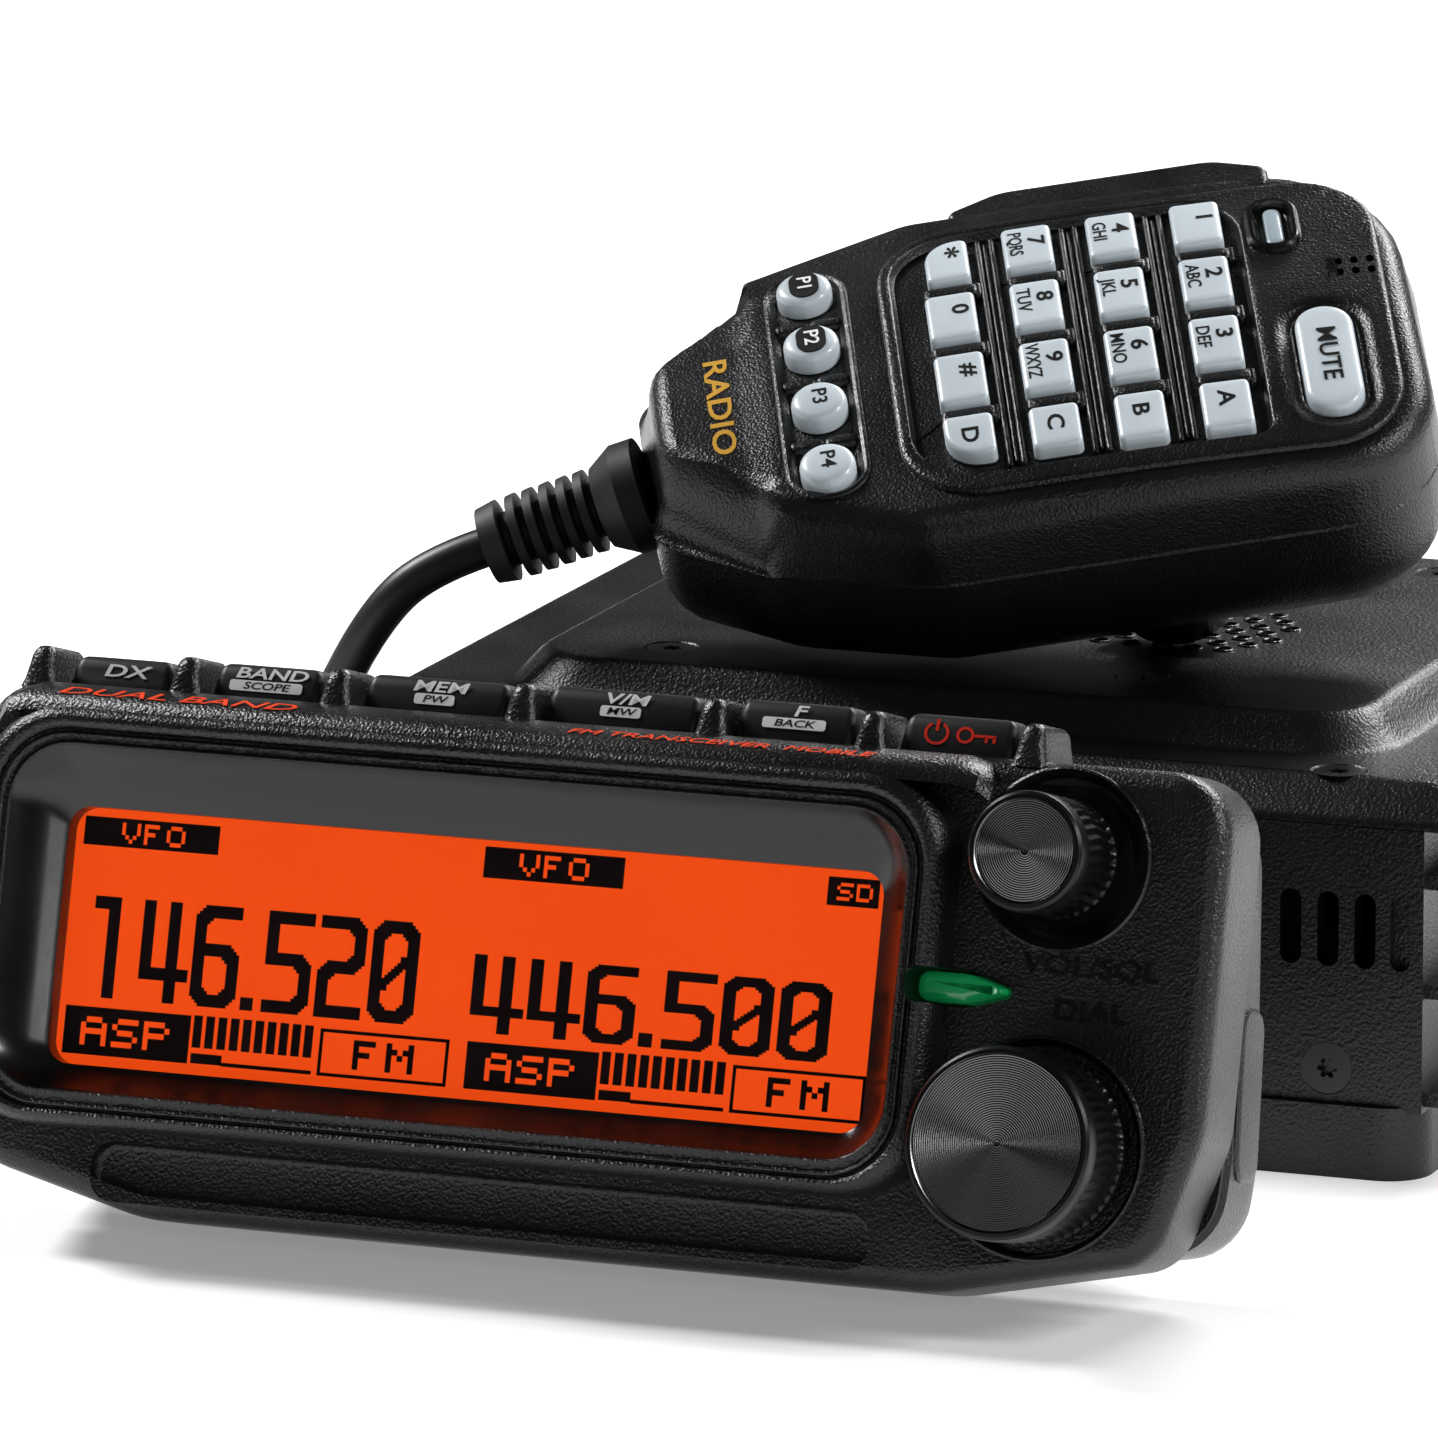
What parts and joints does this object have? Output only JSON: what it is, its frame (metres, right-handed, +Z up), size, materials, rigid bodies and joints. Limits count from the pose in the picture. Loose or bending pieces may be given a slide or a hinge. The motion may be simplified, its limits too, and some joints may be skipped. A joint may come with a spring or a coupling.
{
  "type": "mobile transceiver",
  "caption": "Mobile radio transceiver: low black main unit with finned sides, tilting control head with a lit display and two knobs, and a keypad hand microphone lying on top with its cord.",
  "frame": {"origin": "centre of the main unit's flat underside", "axes": "+Z up, -Y towards the operator, +X to the operator's right"},
  "size_m": [0.1967, 0.212, 0.0972],
  "materials": {
    "cast_housing": "satin black paint on die-cast aluminium with fine spark texture",
    "textured_plastic": "black moulded plastic with fine leather grain",
    "mic_plastic": "black moulded plastic with fine grain",
    "dark_plastic": "plain black plastic",
    "key_rubber": "matt dark grey rubber",
    "white_keys": "milky white translucent plastic",
    "black_rubber": "matt black rubber",
    "cord_jacket": "smooth black jacket",
    "knob_metal": "black anodised, turned face",
    "plated_metal": "nickel plate",
    "steel_hardware": "black zinc",
    "clear_window": "clear",
    "display_panel": "orange backlit display",
    "green_lens": "green translucent",
    "lamp_lens": "milky translucent",
    "circuit_board": "green solder mask",
    "speaker_parts": "black"
  },
  "bodies": {
    "main_unit": {"chassis": "cast_housing", "top_cover": "cast_housing", "case_screws": "steel_hardware", "main_board": "circuit_board", "loudspeaker": "speaker_parts", "fan_frame": "dark_plastic", "antenna_socket": "plated_metal", "power_gland": "black_rubber", "microphone_socket": "dark_plastic", "head_bracket": "cast_housing", "tilt_pin": "steel_hardware", "mic_front_shell": "mic_plastic", "mic_rear_shell": "mic_plastic", "mic_lamp_lens": "lamp_lens", "mic_board": "circuit_board", "mic_boot": "black_rubber", "mic_hanger": "mic_plastic", "cord_lead": "cord_jacket", "cord_coil": "cord_jacket", "cord_tail": "cord_jacket", "cord_plug": "dark_plastic"},
    "control_head": {"head_front_case": "textured_plastic", "head_rear_case": "textured_plastic", "display_window": "clear_window", "display_panel": "display_panel", "head_board": "circuit_board", "status_lamp": "green_lens"},
    "fan_rotor": {"fan_rotor": "dark_plastic"},
    "key_dx": {"key_dx": "key_rubber"},
    "key_band": {"key_band": "key_rubber"},
    "key_memory": {"key_memory": "key_rubber"},
    "key_vfo": {"key_vfo": "key_rubber"},
    "key_function": {"key_function": "key_rubber"},
    "key_power": {"key_power": "key_rubber"},
    "volume_plunger": {"volume_plunger": "plated_metal"},
    "volume_knob": {"volume_knob": "knob_metal"},
    "dial_plunger": {"dial_plunger": "plated_metal"},
    "dial_knob": {"dial_knob": "knob_metal"},
    "mic_key_1": {"mic_key_1": "white_keys"},
    "mic_key_4": {"mic_key_4": "white_keys"},
    "mic_key_7": {"mic_key_7": "white_keys"},
    "mic_key_star": {"mic_key_star": "white_keys"},
    "mic_key_2": {"mic_key_2": "white_keys"},
    "mic_key_5": {"mic_key_5": "white_keys"},
    "mic_key_8": {"mic_key_8": "white_keys"},
    "mic_key_0": {"mic_key_0": "white_keys"},
    "mic_key_3": {"mic_key_3": "white_keys"},
    "mic_key_6": {"mic_key_6": "white_keys"},
    "mic_key_9": {"mic_key_9": "white_keys"},
    "mic_key_hash": {"mic_key_hash": "white_keys"},
    "mic_key_a": {"mic_key_a": "white_keys"},
    "mic_key_b": {"mic_key_b": "white_keys"},
    "mic_key_c": {"mic_key_c": "white_keys"},
    "mic_key_d": {"mic_key_d": "white_keys"},
    "mic_key_p1": {"mic_key_p1": "white_keys"},
    "mic_key_p2": {"mic_key_p2": "white_keys"},
    "mic_key_p3": {"mic_key_p3": "white_keys"},
    "mic_key_p4": {"mic_key_p4": "white_keys"},
    "mic_mute_key": {"mic_mute_key": "white_keys"},
    "mic_talk_bar": {"mic_talk_bar": "mic_plastic"}
  },
  "joints": [
    {"name": "head_tilt", "type": "hinge", "parent": "main_unit", "child": "control_head", "pos_m": [-0.0085, -0.09102, 0.01899], "axis": [-1, 0, 0], "range_deg": [-1, 14]},
    {"name": "fan_spin", "type": "hinge", "parent": "main_unit", "child": "fan_rotor", "pos_m": [0, 0.042, 0.0206], "axis": [0, 1, 0], "continuous": true},
    {"name": "key_dx_press", "type": "slide", "parent": "control_head", "child": "key_dx", "axis": [0, -0.2756, -0.9613], "range_m": [0, 0.001], "stiffness_N_per_m": 400},
    {"name": "key_band_press", "type": "slide", "parent": "control_head", "child": "key_band", "axis": [0, -0.2756, -0.9613], "range_m": [0, 0.001], "stiffness_N_per_m": 400},
    {"name": "key_memory_press", "type": "slide", "parent": "control_head", "child": "key_memory", "axis": [0, -0.2756, -0.9613], "range_m": [0, 0.001], "stiffness_N_per_m": 400},
    {"name": "key_vfo_press", "type": "slide", "parent": "control_head", "child": "key_vfo", "axis": [0, -0.2756, -0.9613], "range_m": [0, 0.001], "stiffness_N_per_m": 400},
    {"name": "key_function_press", "type": "slide", "parent": "control_head", "child": "key_function", "axis": [0, -0.2756, -0.9613], "range_m": [0, 0.001], "stiffness_N_per_m": 400},
    {"name": "key_power_press", "type": "slide", "parent": "control_head", "child": "key_power", "axis": [0, -0.2756, -0.9613], "range_m": [0, 0.001], "stiffness_N_per_m": 400},
    {"name": "volume_push", "type": "slide", "parent": "control_head", "child": "volume_plunger", "axis": [0, 0.9613, -0.2756], "range_m": [0, 0.0005], "stiffness_N_per_m": 2500},
    {"name": "volume_turn", "type": "hinge", "parent": "volume_plunger", "child": "volume_knob", "pos_m": [0.0437, -0.12266, 0.04866], "axis": [0, -0.9613, 0.2756], "continuous": true},
    {"name": "dial_push", "type": "slide", "parent": "control_head", "child": "dial_plunger", "axis": [0, 0.9613, -0.2756], "range_m": [0, 0.0005], "stiffness_N_per_m": 2500},
    {"name": "dial_turn", "type": "hinge", "parent": "dial_plunger", "child": "dial_knob", "pos_m": [0.0437, -0.13088, 0.02002], "axis": [0, -0.9613, 0.2756], "continuous": true},
    {"name": "mic_key_1_press", "type": "slide", "parent": "main_unit", "child": "mic_key_1", "axis": [-0.0486, 0.4878, -0.8716], "range_m": [0, 0.001], "stiffness_N_per_m": 300},
    {"name": "mic_key_4_press", "type": "slide", "parent": "main_unit", "child": "mic_key_4", "axis": [-0.0486, 0.4878, -0.8716], "range_m": [0, 0.001], "stiffness_N_per_m": 300},
    {"name": "mic_key_7_press", "type": "slide", "parent": "main_unit", "child": "mic_key_7", "axis": [-0.0486, 0.4878, -0.8716], "range_m": [0, 0.001], "stiffness_N_per_m": 300},
    {"name": "mic_key_star_press", "type": "slide", "parent": "main_unit", "child": "mic_key_star", "axis": [-0.0486, 0.4878, -0.8716], "range_m": [0, 0.001], "stiffness_N_per_m": 300},
    {"name": "mic_key_2_press", "type": "slide", "parent": "main_unit", "child": "mic_key_2", "axis": [-0.0486, 0.4878, -0.8716], "range_m": [0, 0.001], "stiffness_N_per_m": 300},
    {"name": "mic_key_5_press", "type": "slide", "parent": "main_unit", "child": "mic_key_5", "axis": [-0.0486, 0.4878, -0.8716], "range_m": [0, 0.001], "stiffness_N_per_m": 300},
    {"name": "mic_key_8_press", "type": "slide", "parent": "main_unit", "child": "mic_key_8", "axis": [-0.0486, 0.4878, -0.8716], "range_m": [0, 0.001], "stiffness_N_per_m": 300},
    {"name": "mic_key_0_press", "type": "slide", "parent": "main_unit", "child": "mic_key_0", "axis": [-0.0486, 0.4878, -0.8716], "range_m": [0, 0.001], "stiffness_N_per_m": 300},
    {"name": "mic_key_3_press", "type": "slide", "parent": "main_unit", "child": "mic_key_3", "axis": [-0.0486, 0.4878, -0.8716], "range_m": [0, 0.001], "stiffness_N_per_m": 300},
    {"name": "mic_key_6_press", "type": "slide", "parent": "main_unit", "child": "mic_key_6", "axis": [-0.0486, 0.4878, -0.8716], "range_m": [0, 0.001], "stiffness_N_per_m": 300},
    {"name": "mic_key_9_press", "type": "slide", "parent": "main_unit", "child": "mic_key_9", "axis": [-0.0486, 0.4878, -0.8716], "range_m": [0, 0.001], "stiffness_N_per_m": 300},
    {"name": "mic_key_hash_press", "type": "slide", "parent": "main_unit", "child": "mic_key_hash", "axis": [-0.0486, 0.4878, -0.8716], "range_m": [0, 0.001], "stiffness_N_per_m": 300},
    {"name": "mic_key_a_press", "type": "slide", "parent": "main_unit", "child": "mic_key_a", "axis": [-0.0486, 0.4878, -0.8716], "range_m": [0, 0.001], "stiffness_N_per_m": 300},
    {"name": "mic_key_b_press", "type": "slide", "parent": "main_unit", "child": "mic_key_b", "axis": [-0.0486, 0.4878, -0.8716], "range_m": [0, 0.001], "stiffness_N_per_m": 300},
    {"name": "mic_key_c_press", "type": "slide", "parent": "main_unit", "child": "mic_key_c", "axis": [-0.0486, 0.4878, -0.8716], "range_m": [0, 0.001], "stiffness_N_per_m": 300},
    {"name": "mic_key_d_press", "type": "slide", "parent": "main_unit", "child": "mic_key_d", "axis": [-0.0486, 0.4878, -0.8716], "range_m": [0, 0.001], "stiffness_N_per_m": 300},
    {"name": "mic_key_p1_press", "type": "slide", "parent": "main_unit", "child": "mic_key_p1", "axis": [-0.0486, 0.4878, -0.8716], "range_m": [0, 0.001], "stiffness_N_per_m": 300},
    {"name": "mic_key_p2_press", "type": "slide", "parent": "main_unit", "child": "mic_key_p2", "axis": [-0.0486, 0.4878, -0.8716], "range_m": [0, 0.001], "stiffness_N_per_m": 300},
    {"name": "mic_key_p3_press", "type": "slide", "parent": "main_unit", "child": "mic_key_p3", "axis": [-0.0486, 0.4878, -0.8716], "range_m": [0, 0.001], "stiffness_N_per_m": 300},
    {"name": "mic_key_p4_press", "type": "slide", "parent": "main_unit", "child": "mic_key_p4", "axis": [-0.0486, 0.4878, -0.8716], "range_m": [0, 0.001], "stiffness_N_per_m": 300},
    {"name": "mic_mute_press", "type": "slide", "parent": "main_unit", "child": "mic_mute_key", "axis": [-0.0486, 0.4878, -0.8716], "range_m": [0, 0.001], "stiffness_N_per_m": 300},
    {"name": "mic_talk_press", "type": "slide", "parent": "main_unit", "child": "mic_talk_bar", "axis": [0.3836, -0.7966, -0.4672], "range_m": [0, 0.0014], "stiffness_N_per_m": 500}
  ]
}
